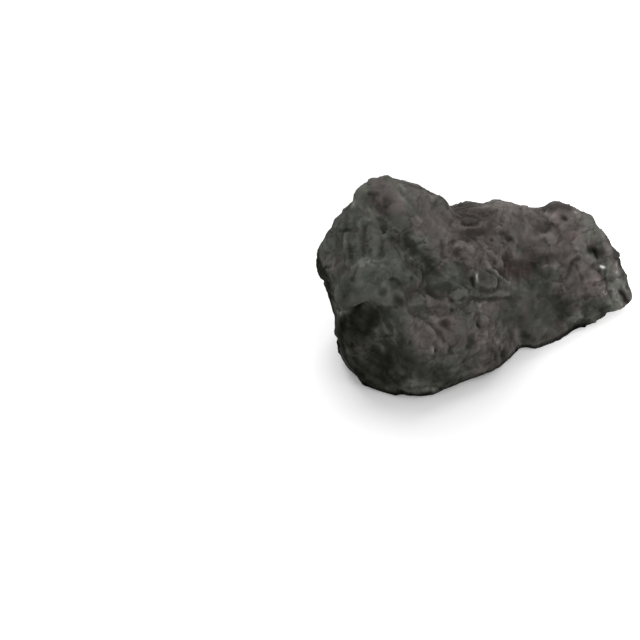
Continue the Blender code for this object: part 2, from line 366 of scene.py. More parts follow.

# each one: radius in millimetres, lighter or darker, browner or greener, then its path; some are painted
# shade and painted light, as marked below
tones = {
    "top of the slab": (6.0, 0.39, 0.8, (460, 215), (520, 218), (575, 222)),
    "middle of the slab": (4.0, 0.05, 0.9, (455, 245), (490, 255)),
    "right of the slab": (4.0, 0.33, 0.8, (550, 245), (590, 250), (590, 280)),
    # painted light: the crag's right face lighter, as if the light fell on it; its brown is its own colour
    "right face of the crag": (4.0, 0.27, 0.65, (400, 195), (425, 205), (440, 235)),
    "peak": (2.5, -0.06, 0.1, (372, 184), (390, 182), (405, 190)),
    "lobe": (5.0, 0.2, 0.72, (415, 335), (450, 325), (490, 330)),
    "end of the lobe": (3.0, 0.08, 0.6, (500, 345)),
    "front of the slab": (4.0, 0.04, -0.6, (510, 320), (545, 325)),
    # painted shade: the left facet a little darker, as the side away from the light; its green is its own
    # colour
    "left facet": (5.0, -0.06, -0.7, (340, 245), (370, 270), (385, 250)),
    "lumps of the middle": (2.5, 0.15, -0.9, (440, 275), (455, 285)),
    "disc": (2.0, 0.0, -0.9, (485, 280)),
    # painted shade, down to the foot of the wall: the recess under the brow and the wall beneath it darker,
    # where shade falls
    "recess": (1.9, -1.05, -0.6, (358, 309), (366, 313), (374, 315), (367, 327)),
    "wall": (4.6, -1.07, -0.6, (348, 328), (352, 352), (368, 374), (384, 366)),
    "upper wall": (3.0, -0.2, -0.5, (386, 318), (393, 330), (398, 345)),
    "foot of the wall": (3.0, -0.5, -0.6, (395, 388), (408, 375), (405, 360)),
    "red hollow": (2.6, -0.28, 1.9, (508, 264), (522, 268), (536, 262)),
    "green patch": (2.0, -0.22, -1.2, (532, 283), (550, 275)),
    "dark dish": (2.6, -0.45, -0.6, (556, 295), (563, 312)),
    # painted shadow inside the deep pit
    "deep pit": (1.0, -2.2, 0.3, (592, 251), (597, 253)),
    "tip": (0.45, -2.1, 0.0, (620, 292), (623, 297), (625, 302)),
    "right end": (1.8, 0.58, -0.3, (613, 266), (618, 284), (612, 302)),
    "foot": (2.0, 0.15, -0.6, (410, 385), (430, 385)),
    "beds of the slab": (2.6, -0.45, 1.0, (466, 218), (484, 232)),
    "right top edge": (2.0, 0.35, -0.3, (592, 228), (600, 236)),
    "over the brow": (3.2, 0.3, -0.7, (360, 286), (386, 286)),
    # painted shade, down to the bottom edge: the left cheek, the wall's left side and the bottom edges
    # darker, turned from the light
    "left cheek": (2.2, -1.0, -0.7, (347, 291), (343, 302)),
    "left side of the wall": (1.2, -1.1, -0.5, (342, 328), (348, 317)),
    "corner of the foot": (1.4, -1.5, -0.5, (352, 374), (364, 386), (380, 393), (395, 396)),
    "bottom edge": (1.0, -1.6, -0.3, (412, 394), (428, 394)),
    "behind the notch": (2.0, -1.0, 0.7, (459, 211), (474, 211), (490, 211)),
    "rim of the right bump": (1.4, -1.0, 0.5, (545, 207), (556, 208), (567, 207)),
    # painted shade along the lobe's bottom edge
    "bottom of the lobe": (1.8, -0.95, -0.6, (424, 374), (443, 376)),
    "dark spot of the lobe": (1.6, -0.8, -0.6, (411, 359), (416, 361)),
    "pale foot of the gully": (1.6, 0.9, -0.8, (432, 283), (446, 288)),
    "pale head of the gully": (1.2, 0.8, -0.4, (414, 238), (421, 245)),
    "pale spot of the lobe": (1.4, 0.9, 0.8, (482, 308), (492, 308)),
    "pale lip of the slab": (1.4, 0.75, -0.3, (545, 268), (553, 269)),
    "shoulder of the peak": (1.8, -0.5, 0.0, (388, 206), (392, 216)),
    "dark fold of the peak": (1.3, -0.6, -0.3, (367, 200), (368, 207)),
    "dark middle of the slab": (1.6, -0.45, 0.9, (529, 250), (541, 257), (556, 257), (570, 258)),
    "dark patch of the front": (1.5, -0.5, -0.5, (526, 316), (532, 318)),
    "front of the brow": (2.2, -0.25, -0.6, (396, 312), (401, 326), (404, 340)),
    "blob in the recess": (1.1, 0.5, -0.6, (362, 323), (366, 327)),
    "first rib of the wall": (0.8, 0.3, -0.5, (378, 330), (375, 342)),
    "second rib of the wall": (0.6, 0.3, -0.5, (383, 325), (387, 331)),
    "third rib of the wall": (0.6, 0.3, -0.5, (396, 331), (395, 341)),
    "lumps at the foot": (0.9, 0.5, -0.6, (387, 386), (399, 387), (412, 384)),
    "dark column": (1.3, -0.3, -0.6, (388, 357), (388, 378)),
    "rim of the crag": (0.7, -0.8, -0.2, (441, 196), (448, 207)),
    "rim behind the notch": (1.2, -1.0, 0.5, (455, 206), (468, 206)),
    "rim of the middle bump": (0.7, -0.3, 0.0, (488, 201), (503, 200), (515, 206)),
    # painted light under the right end, then painted shade along its bottom edge
    "under the right end": (1.5, 0.5, -0.4, (570, 323), (584, 319), (597, 312)),
    "bottom rim of the right end": (0.7, -0.6, -0.4, (560, 338), (572, 331), (588, 321), (606, 315)),
    "olive end": (1.1, 0.1, -1.4, (608, 274), (611, 288)),
    "first edge spot": (0.5, -1.0, 0.0, (619, 264)),
    "pale edge": (0.8, 0.7, -0.1, (609, 249), (613, 258), (616, 267), (619, 276)),
    # painted shade, down to the middle of the wall: in the recess, along the left outline and on the wall
    "dark spot of the recess": (1.2, -0.9, -0.6, (350, 322), (356, 324)),
    "outer left rim": (1.3, -2.2, -0.6, (337, 345), (339, 355), (343, 364), (350, 373)),
    "middle of the wall": (3.4, -0.2, -0.9, (364, 342), (384, 350), (372, 362)),
    "beds behind the notch": (1.3, -0.7, 0.5, (458, 216), (478, 219)),
    "pale foot": (0.8, 0.8, -0.5, (424, 389), (436, 389)),
    "pale lump over the brow": (1.0, 0.85, -0.6, (374, 260), (384, 258)),
    "pale side of the notch": (0.8, 1.2, 0.2, (517, 333), (518, 347)),
    "pale lump by the green patch": (1.2, 0.5, 0.4, (555, 285), (566, 284)),
    "pale streak of the slab": (0.8, 0.55, 0.7, (555, 261), (567, 260), (577, 256)),
    "pale stripe of the end": (0.5, 0.6, -0.1, (603, 292), (608, 303)),
    "pink spot of the right": (0.9, 0.35, 1.0, (597, 281), (600, 287)),
    "pink spot of the red hollow": (0.9, 0.5, 1.4, (514, 257), (523, 258)),
    "pale spot under the arc": (0.8, 0.55, 0.6, (487, 254), (493, 256)),
    "pale middle of the slab": (1.6, 0.45, 0.8, (520, 231), (531, 236)),
    # painted shade in the corner of the recess
    "corner of the recess": (0.6, -1.1, -0.6, (354, 306), (359, 305)),
    "pale beds under the shelf": (1.3, 0.4, -0.7, (408, 308), (424, 310)),
    "pale spot of the foot": (1.0, 0.4, -0.5, (415, 374), (423, 374)),
    "pale spot in the lobe": (0.9, 0.4, 0.0, (452, 357), (456, 359)),
    "pale spot of the front": (1.2, 0.35, -0.8, (516, 289), (523, 290)),
    "dark spot right of the brow": (0.8, -0.9, -0.6, (397, 299), (401, 302)),
    "dark patch of the low right": (1.6, -0.7, -0.8, (589, 305), (598, 309), (607, 311)),
    "pits by the notch": (0.9, -0.8, 0.3, (496, 350), (505, 356)),
    # painted shade along the lobe's bottom edge
    "rim of the lobe": (0.9, -0.9, -0.5, (447, 384), (460, 379)),
    "dark spot of the middle": (0.9, -0.6, -0.2, (459, 267), (463, 271)),
    "middle of the disc": (1.3, -0.6, -0.9, (484, 276), (490, 278)),
    "dark spot left of the crag": (1.2, -0.5, -0.5, (344, 231), (351, 232)),
    "dark spot by the gully": (0.9, -0.6, -0.8, (393, 281), (399, 284)),
    "dark spot low in the lobe": (1.0, -0.5, 0.4, (463, 360), (467, 363)),
    "red spot of the peak": (1.6, -0.3, 1.2, (383, 190), (388, 199)),
    "dark patch of the dish": (1.4, -0.5, -0.6, (561, 314), (568, 303)),
    "dark side of the wall": (1.2, -0.6, -0.6, (400, 341), (401, 351)),
    "lobe pit": (0.9, -0.6, 0.6, (444, 325), (448, 330)),
    "dark end of the shelf": (0.9, -0.5, -0.3, (434, 301), (441, 300)),
    "dark spot by the foot": (1.1, -0.5, -0.5, (522, 340), (530, 342)),
    "dark beds of the middle": (0.9, -0.5, 0.8, (461, 241), (475, 240)),
    "dark spot of the top": (0.9, -0.45, 0.7, (503, 223), (509, 225)),
    "furrow of the left facet": (1.0, -0.5, -0.5, (350, 252), (352, 260)),
    "shade of the crack": (0.5, -0.5, 0.3, (479, 299), (494, 298)),
    "dark spot by the slab": (1.0, -0.45, -0.2, (499, 316), (503, 321)),
    "dark lump by the gully": (0.9, -0.45, -0.8, (405, 266), (409, 270)),
    "first lump of the wall": (0.8, 0.8, -1.0, (347, 351), (355, 350)),
    "second lump of the wall": (0.7, 0.5, -0.6, (361, 350), (361, 359)),
    "third lump of the wall": (0.6, 0.6, -0.5, (381, 346), (383, 350)),
    "first pit of the wall": (0.8, -0.6, -0.6, (348, 344), (352, 346)),
    "second pit of the wall": (0.6, -0.6, -0.6, (386, 337), (386, 342)),
    "third pit of the wall": (1.0, -0.4, -0.6, (358, 372), (363, 372)),
    # painted shade on the wall
    "dark middle of the wall": (1.2, -0.5, -0.6, (372, 355), (380, 358)),
    "brown pit of the top": (0.6, -0.7, 0.8, (561, 217), (566, 219)),
    "brown patch of the top": (0.9, -0.5, 0.6, (543, 223), (550, 224)),
    "brown spot of the top": (0.6, -0.5, 0.8, (514, 216), (522, 219)),
    "under the middle of the brow": (0.7, 0.9, -0.6, (364, 306), (378, 307)),
    # painted shade along the low left outline
    "low left rim": (1.2, -1.5, -0.4, (341, 326), (342, 335), (343, 345), (347, 360), (357, 375)),
    "pale head of the disc": (0.6, 0.5, -0.5, (488, 269), (494, 272)),
    "pale spot of the left facet": (1.0, 0.55, -0.6, (363, 262), (369, 262)),
    "pale spot over the foot": (1.0, 0.4, -0.5, (403, 374), (408, 376)),
    "pale spot by the lobe": (1.0, 0.4, -0.5, (512, 314), (517, 317)),
    "pale spot under the crack": (0.9, 0.35, 0.3, (500, 303), (505, 305)),
    "pale spot by the tip": (1.0, 0.35, -0.6, (332, 252), (337, 254)),
    "pale spot by the shelf": (0.8, 0.4, -0.3, (440, 294), (446, 296)),
    "dark top of the lobe": (0.9, -0.5, 0.4, (445, 309), (450, 312)),
    "dark band of the lobe": (1.0, -0.45, 0.5, (460, 341), (474, 345)),
    "dark end of the lobe": (1.2, -0.6, -0.2, (490, 343), (492, 356), (497, 361), (491, 366)),
    "dark spot by the tip": (0.9, -0.45, -0.4, (338, 266), (342, 270)),
    "dark foot of the gully": (0.9, -0.45, -0.8, (440, 287), (446, 289)),
    "dark spot of the foot": (0.8, -0.4, -0.5, (399, 388)),
    "furrow of the crag": (0.8, -0.4, -0.3, (370, 225), (370, 230)),
    "low furrow of the crag": (0.8, -0.4, -0.5, (354, 271), (354, 276)),
    "second spot of the top": (0.9, -0.4, 0.5, (531, 219), (536, 221)),
    "dark spot of the shoulder": (0.9, -0.4, -0.1, (383, 213), (388, 216)),
    "red corner of the disc": (0.7, -0.4, 1.5, (502, 269), (505, 272)),
    "brown spot under the crystal": (0.7, -0.8, 0.8, (601, 271), (603, 278)),
    "dark edge of the brow": (0.9, -0.4, -0.8, (395, 289), (404, 280)),
    "dark spot of the cheek": (0.9, -0.4, -0.5, (333, 235), (336, 239)),
    "pale rib of the wall": (0.7, 0.7, -0.6, (374, 323), (373, 331), (370, 337)),
    "pale middle of the wall": (1.6, 0.4, -0.6, (370, 350), (378, 349)),
    "pale foot of the wall": (1.8, -0.15, -0.6, (360, 376), (374, 375), (382, 366)),
    "pale corner of the wall": (0.8, 1.3, -0.6, (378, 389), (386, 391)),
    "pale streak of the recess": (0.7, 1.3, -0.6, (348, 319), (347, 324)),
    "pale left of the wall": (0.8, 0.45, -0.6, (349, 334), (350, 340)),
    "head of the gully": (1.6, -0.35, -0.8, (402, 236), (411, 248)),
    "middle of the gully": (1.2, -0.35, -0.8, (424, 255), (436, 269)),
    "foot of the gully": (1.4, -0.45, -0.9, (427, 276), (430, 289)),
    "dark crescent of the disc": (0.45, -0.9, -0.5, (472, 279), (474, 284)),
    "pale spot over the pit": (0.9, 0.25, -0.1, (600, 236), (604, 241)),
    "pale right of the lobe": (0.8, 0.45, 0.6, (479, 338), (484, 340)),
    "dark spot by the fleck": (0.7, -0.4, 0.4, (445, 343), (447, 348)),
    "pale back of the beds": (1.2, 0.45, 0.2, (480, 209), (492, 207)),
    "pale bed": (0.9, 0.4, 0.6, (481, 229), (486, 229)),
    "pale spot of the top": (0.9, 0.35, 0.5, (501, 214), (505, 216)),
    "pale slope of the crag": (0.9, 0.4, -0.5, (335, 226), (338, 229)),
    "pale crest": (1.0, 0.45, 0.3, (406, 196), (412, 198)),
    "second pale crest": (1.0, 0.4, 0.3, (425, 196), (430, 198)),
    "pink spot under the crystal": (0.7, 0.4, 0.8, (600, 280), (602, 285)),
    "pale end of the wall": (1.0, 0.4, -0.6, (394, 355), (397, 360)),
    "pink floor of the red hollow": (1.2, 0.4, 1.5, (515, 266), (519, 269)),
    "pale spot of the nose": (0.9, 0.35, -0.5, (382, 238), (384, 243)),
    "pale side of the gully": (0.8, 0.8, -0.3, (437, 258), (439, 265)),
    "pale spot in the gully": (0.7, 0.65, -0.6, (409, 259), (420, 257), (421, 262)),
    "pale spot by the ledges": (0.9, 0.55, 0.7, (518, 247), (519, 252)),
    "pale spot under the fold": (0.7, 0.55, -0.4, (369, 213), (369, 218)),
    "pale end of the lobe": (0.8, 0.55, 0.4, (496, 340), (502, 346)),
    "pale spot of the slope": (0.9, 0.5, -0.5, (355, 216), (358, 221)),
    "pale left of the front": (0.9, 0.5, 0.0, (510, 325), (513, 329)),
    "pale left bed": (0.7, 0.5, 0.6, (475, 222), (480, 222)),
    "second fold of the peak": (0.8, -0.7, -0.2, (374, 197), (377, 202)),
    "upper left rim": (0.6, -0.8, -0.3, (318, 247), (325, 234), (334, 221), (347, 209), (354, 194)),
    "upper right rim": (0.5, -0.7, -0.2, (404, 182), (418, 187), (432, 193)),
    "right rim": (0.5, -0.8, 0.0, (605, 238), (612, 247), (618, 258), (621, 266)),
    "dark side of the foot": (0.9, -0.5, -0.5, (391, 384), (402, 381)),
    "dark streak of the wall": (0.8, -0.9, -0.6, (347, 360), (349, 366)),
    "pale heart of the wall": (1.2, 0.45, -0.6, (374, 372), (383, 364)),
    "dark spot by the shelf": (0.8, -0.5, -0.5, (403, 303), (406, 303)),
    "dark head of the nose": (0.7, -0.5, -0.4, (392, 240), (397, 241)),
    "dark spot under the round lump": (0.8, -0.45, -0.6, (417, 273), (421, 274)),
    "dark lip of the gully": (0.7, -0.5, -0.3, (437, 269), (442, 266)),
    "dark side of the ledges": (1.0, -0.45, 0.5, (507, 232), (513, 241)),
    "dark spot of the middle top": (0.9, -0.45, 0.8, (530, 240), (534, 242)),
    "dark groove of the lobe": (0.7, -0.45, 0.2, (465, 314), (468, 315)),
    "low spot of the slab": (0.9, -0.4, -0.4, (536, 337), (554, 337)),
    "dark spot of the front": (0.8, -0.4, -0.4, (549, 296), (552, 297)),
    "heart of the green patch": (0.9, -0.3, -1.0, (537, 266), (539, 274)),
    "dark spot of the gully": (0.8, -0.35, -0.7, (412, 280), (416, 285)),
    "pale end under the fleck": (0.7, 0.45, 0.3, (486, 349), (489, 350)),
    "pale spot by the crystal": (0.6, 0.4, -0.6, (608, 276), (609, 280)),
    # painted shade at the bottom edge of the right end
    "dark foot of the right end": (0.8, -0.5, -0.3, (586, 314), (590, 316)),
    "dark spot over the disc": (0.8, -0.4, 0.4, (490, 261), (494, 263)),
    # painted shade under the brow
    "dark spot under the brow": (0.8, -0.45, -0.6, (358, 298), (361, 301)),
    "strip by the ledges": (0.8, -0.45, 0.6, (442, 214), (446, 216)),
    "dark spot of the nose": (0.8, -0.45, -0.4, (386, 229), (389, 230)),
    # painted shade, to the front of the foot: on the wall and along the foot's bottom edge
    "dark heart of the wall": (0.8, -0.5, -0.6, (373, 344), (375, 354)),
    "dark spot of the wall": (0.8, -0.5, -0.6, (371, 326), (370, 329)),
    "dark front of the foot": (0.7, -0.8, -0.5, (422, 391), (427, 391)),
    "dark spot of the green patch": (0.8, -0.4, -0.9, (399, 297), (402, 298)),
    "pale end of the crack": (0.6, 0.4, 0.2, (468, 298), (471, 299)),
    "pale spot of the green patch": (0.8, 0.5, -0.8, (545, 288), (548, 289)),
    "pale spot under the deep pit": (0.6, 0.6, 0.2, (588, 254), (590, 255)),
    "pale spot by the deep pit": (0.5, 0.7, 0.0, (599, 256), (599, 258)),
    "pale head of the recess": (0.6, 0.5, -0.5, (369, 312), (373, 312)),
    # painted shade along the lobe's bottom edge
    "bottom rim of the lobe": (0.7, -0.4, -0.4, (444, 385), (456, 376)),
    "pale spot of the top right": (0.8, 0.4, 0.3, (581, 218), (583, 221)),
    "dark spot of the top right": (0.8, -0.4, 0.4, (552, 228), (555, 230)),
    "pits of the lobe": (0.9, -0.75, 0.5, (480, 327), (491, 326)),
    # painted shade, to the right head of the recess: along the left tip's outline, and in and by the recess
    "dark left tip": (1.0, -1.0, -0.4, (316, 257), (318, 263)),
    "pits by the recess": (0.8, -0.5, -0.6, (347, 337), (349, 339)),
    "right head of the recess": (1.1, -0.4, -0.6, (381, 309), (388, 313)),
    "pale tail of the ridge": (0.4, 0.2, 0.3, (504, 279), (509, 282)),
    "pale cheek over the recess": (0.8, 0.35, -0.7, (352, 299), (356, 298)),
    "pale spot of the rim": (0.8, 1.1, -0.5, (324, 276), (326, 281)),
    "dark spot of the rim": (0.8, -0.5, -0.5, (331, 272), (334, 281)),
    "pale spot by the brow": (0.6, 0.8, -0.3, (331, 291), (336, 305)),
    "pale nose of the crag": (0.7, 0.4, -0.3, (394, 231), (397, 233)),
}

# painted shade on the left flank: dark where it stands upright or hangs over
flank = {
    "shade": -2.0,
    "warmth": -0.4,
    "upright": 0.45,           # a face's direction upwards: less than this is dark
    "turn": 0.4,
    "side": -24.2 * mm,        # how far left it starts at the floor, and how that goes with height
    "lean": -0.12,
    "soft": 1.5 * mm,
    "back": 14 * mm,
    "backFade": 13 * mm,
    "top": 24 * mm,
    "topFade": 4 * mm,
    "patchSize": 4.5 * mm,     # the painted shade's uneven border, and how far it strays each way
    "stray": (0.8 * mm, 5 * mm, 3 * mm),
}

# pale flecks, each one: radius in millimetres, how pale, browner or greener, then its path
flecks = {
    "white crystal": (0.5, 1.9, 0.0, (601, 266), (603, 267)),
    "crystal of the disc": (0.4, 1.4, -0.6, (477, 274), (478, 281)),
    "lobe fleck": (0.45, 0.6, 0.0, (433, 349), (434, 352)),
    "green fleck of the peak": (0.7, 0.25, -1.4, (364, 186), (366, 191)),
    "left fleck of the peak": (0.6, 0.75, -0.2, (352, 206), (356, 203)),
    "long fleck of the peak": (0.4, 0.35, -0.2, (362, 208), (368, 208)),
    "pink fleck of the peak": (0.5, 0.15, 0.8, (389, 183), (391, 184)),
    "pair on the peak": (0.5, 0.5, 0.5, (399, 184), (404, 190)),
    "fleck of the right face": (0.5, 0.5, 0.6, (417, 218), (421, 220)),
    "fleck at the notch": (0.4, 0.6, 0.0, (515, 349)),
    "fleck of the top": (0.4, 0.7, 0.0, (575, 212)),
    "first end stripe": (0.5, 0.75, -0.3, (613, 294), (618, 304)),
    "second end stripe": (0.4, 0.45, -0.5, (624, 287), (626, 291), (628, 297)),
    "blob of the end": (0.5, 0.9, -0.2, (615, 290), (617, 293)),
    "bead of the lip": (0.6, 1.05, -0.6, (337, 312), (340, 315), (346, 313), (351, 309), (353, 306)),
}

# calm places, each one: radius in millimetres, how calm, then its path
calms = {
    "over the brow": (3.4, 1.0, (358, 290), (388, 290)),
    "shoulder of the peak": (2.6, 1.0, (394, 212), (404, 222)),
    "front of the slab": (5.0, 1.0, (510, 318), (545, 322)),
    "peak": (3.0, 0.8, (374, 190), (392, 195)),
    "right of the slab": (3.0, 0.6, (560, 250), (585, 285)),
    "right face of the crag": (4.2, 1.0, (405, 205), (425, 215), (436, 230)),
    "lobe": (3.5, 0.7, (430, 335), (470, 330)),
    "top of the slab": (4.0, 0.5, (470, 230), (540, 240)),
}


def drift(places, size):
    return np.array([noise.noise_vector(Vector(place) / size) for place in places])


def landing(tree, x, y):
    eye, ray = viewPoint(), sightLine(x, y)
    hit = tree.ray_cast(eye, ray)[0]
    if hit is None:            # a mark on the outline may just miss the stone
        tries = [tree.find_nearest(eye + ray * view["distance"] * far)
                 for far in np.arange(*skin["search"])]
        hit = min(tries, key=lambda found: found[3])[0]
    return np.array(hit)


def closeness(places, path, radius):
    apart = np.full(len(places), np.inf)
    for start, end in zip(path, path[1:] or path):
        run = end - start
        share = np.clip((places - start) @ run / max(run @ run, tiny), 0, 1)
        gap = np.linalg.norm(places - start - share[:, None] * run, axis=1)
        apart = np.minimum(apart, gap)
    close = np.clip(1 - apart / radius, 0, 1)
    return skin["sharp"] * close + (1 - skin["sharp"]) * close * close * (3 - 2 * close)


def sunk(places, edge, sight, reach):
    lengths = [np.linalg.norm(end - start) for start, end in zip(edge, edge[1:])]
    before, whole = 0, sum(lengths)
    nearest = np.full(len(places), np.inf)
    share = np.zeros(len(places))
    for start, end, length in zip(edge, edge[1:], lengths):
        run = (end - start) / length
        side = np.cross(sight, run)
        side = side / np.linalg.norm(side)
        offset = places - start
        along = np.clip(offset @ run, 0, length)
        gap = np.linalg.norm(offset - along[:, None] * run, axis=1)
        floor = np.clip(1 - gap / reach, 0, 1) ** skin["ledgeFall"]
        deep = np.clip(offset @ side / skin["edge"] + 0.5, 0, 1) * floor
        left = np.minimum(before + along, whole - before - along)
        ends = np.clip(left / (skin["ledgeEnds"] * whole), 0, 1)
        closer = gap < nearest
        share[closer] = (deep * ends * (2 - ends))[closer]
        nearest[closer] = gap[closer]
        before += length
    return share


def flankShadeShare(places, facing):
    x, y, z = (places + drift(places, flank["patchSize"]) * flank["stray"]).T
    upright = (flank["upright"] - facing[:, 2]) / flank["turn"]
    left = (flank["side"] + flank["lean"] * z - x) / flank["soft"]
    front = (flank["back"] - y) / flank["backFade"]
    under = (flank["top"] - z) / flank["topFade"]
    return np.prod([np.clip(part, 0, 1) for part in (upright, left, front, under)], axis=0)


def softened(mesh, places, share):
    flat = np.empty(len(mesh.edges) * 2, np.int32)
    mesh.edges.foreach_get("vertices", flat)
    first, second = flat.reshape(-1, 2).T
    count = len(places)
    around = np.bincount(flat, minlength=count)
    for _ in range(skin["softPasses"]):
        for axis in range(3):
            here = places[:, axis]
            total = np.bincount(first, here[second], count) + np.bincount(second, here[first], count)
            places[:, axis] = here + share * (total / around - here)
    return places


def sculpt(piece):
    mesh = piece.data
    shape = bmesh.new()
    shape.from_mesh(mesh)
    tree = BVHTree.FromBMesh(shape)
    shape.free()
    places, facing = ofPoints(mesh, "co"), ofPoints(mesh, "normal")
    noise.seed_set(skin["seed"])
    wavered = places + drift(places, skin["wobbleSize"]) * skin["wobble"]

    def lineOf(path):
        return [landing(tree, x, y) for x, y in path]

    def near(radius, path):
        return closeness(wavered, lineOf(path), radius * mm * skin["spread"])

    def raised(table):
        return sum(height * mm * near(radius, path) for radius, height, *path in table.values())

    def covered(table):
        return np.max([amount * near(radius, path) for radius, amount, *path in table.values()], axis=0)

    rise, bulge = raised(marks), raised(forms)
    sight = np.array(sightLine(*skin["middle"]))
    drop = sum(depth * mm * sunk(wavered, lineOf(path), sight, reach * mm)
               for reach, depth, *path in ledges.values())
    # painted shade at the foot, on the left flank and in the marks' hollows, with painted light on the marks'
    # ridges; then the listed tones and flecks
    side = flankShadeShare(places, facing)
    tone = skin["footShade"] * np.clip(1 - places[:, 2] / skin["footHeight"], 0, 1)
    tone += skin["markShading"] * rise / mm
    tone += flank["shade"] * side
    warmth = skin["warmth"] + (flank["warmth"] - skin["warmth"]) * side
    for radius, lightness, hue, *path in [*tones.values(), *flecks.values()]:
        share = near(radius, path)
        tone += lightness * share
        warmth += (hue - warmth) * share
    for name, values in (("tone", tone), ("warmth", warmth), ("calm", covered(calms))):
        layer = mesh.attributes.new(name, "FLOAT", "POINT")
        layer.data.foreach_set("value", values.astype(np.float32))
    places = softened(mesh, places + facing * bulge[:, None], covered(softs))
    setCoordinates(mesh, places + facing * rise[:, None] + sight * drop[:, None])


# relief by rule

grain = {
    "Swell Size": 3.4 * mm,
    "Swell Height": 0.17 * mm,
    "Grit Size": 0.9 * mm,
    "Grit Height": 0.05 * mm,
    "Chip Size": 2.6 * mm,
    "Chip Tilt": 0.26,
    "Crumb Size": 1.15 * mm,
    "Crumb Tilt": 0.14,
    "Bed Spacing": 1.7 * mm,
    "Bed Height": 0.1 * mm,
    "Pit Size": 2.8 * mm,
    "Pit Depth": 0.22 * mm,
}
rock = {
    "bedding": (0.25, -0.35, 0.9),    # the stone's beds lie across this
    "bedRise": 0.8,            # the share of a bed's spacing that it rises over
    "swell": {"Detail": 4.0, "Roughness": 0.5, "Distortion": 0.6},
    "grit": {"Detail": 3.0, "Roughness": 0.6, "Distortion": 0.3},
    "range": (0.25, 0.75),     # what a noise gives, nearly always
    "warp": 1.8 * mm,          # how far the swells bend the chips and beds
    "patchSize": 7 * mm,       # of the rough and calm patches
    "patchDetail": 2.0,
    "patch": (0.38, 0.6, 0.45),    # their noise from and to, and the least roughness
    "leastInCalm": 0.25,
    "pitScatter": 0.9,
    "pitChance": (0.82, 0.9),
    "pitBowl": (0.08, 0.36),   # its flat bottom and its rim, in pit sizes
    "hollows": {"fineHollow": 5, "broadHollow": 60},    # each with the passes of its blur
}


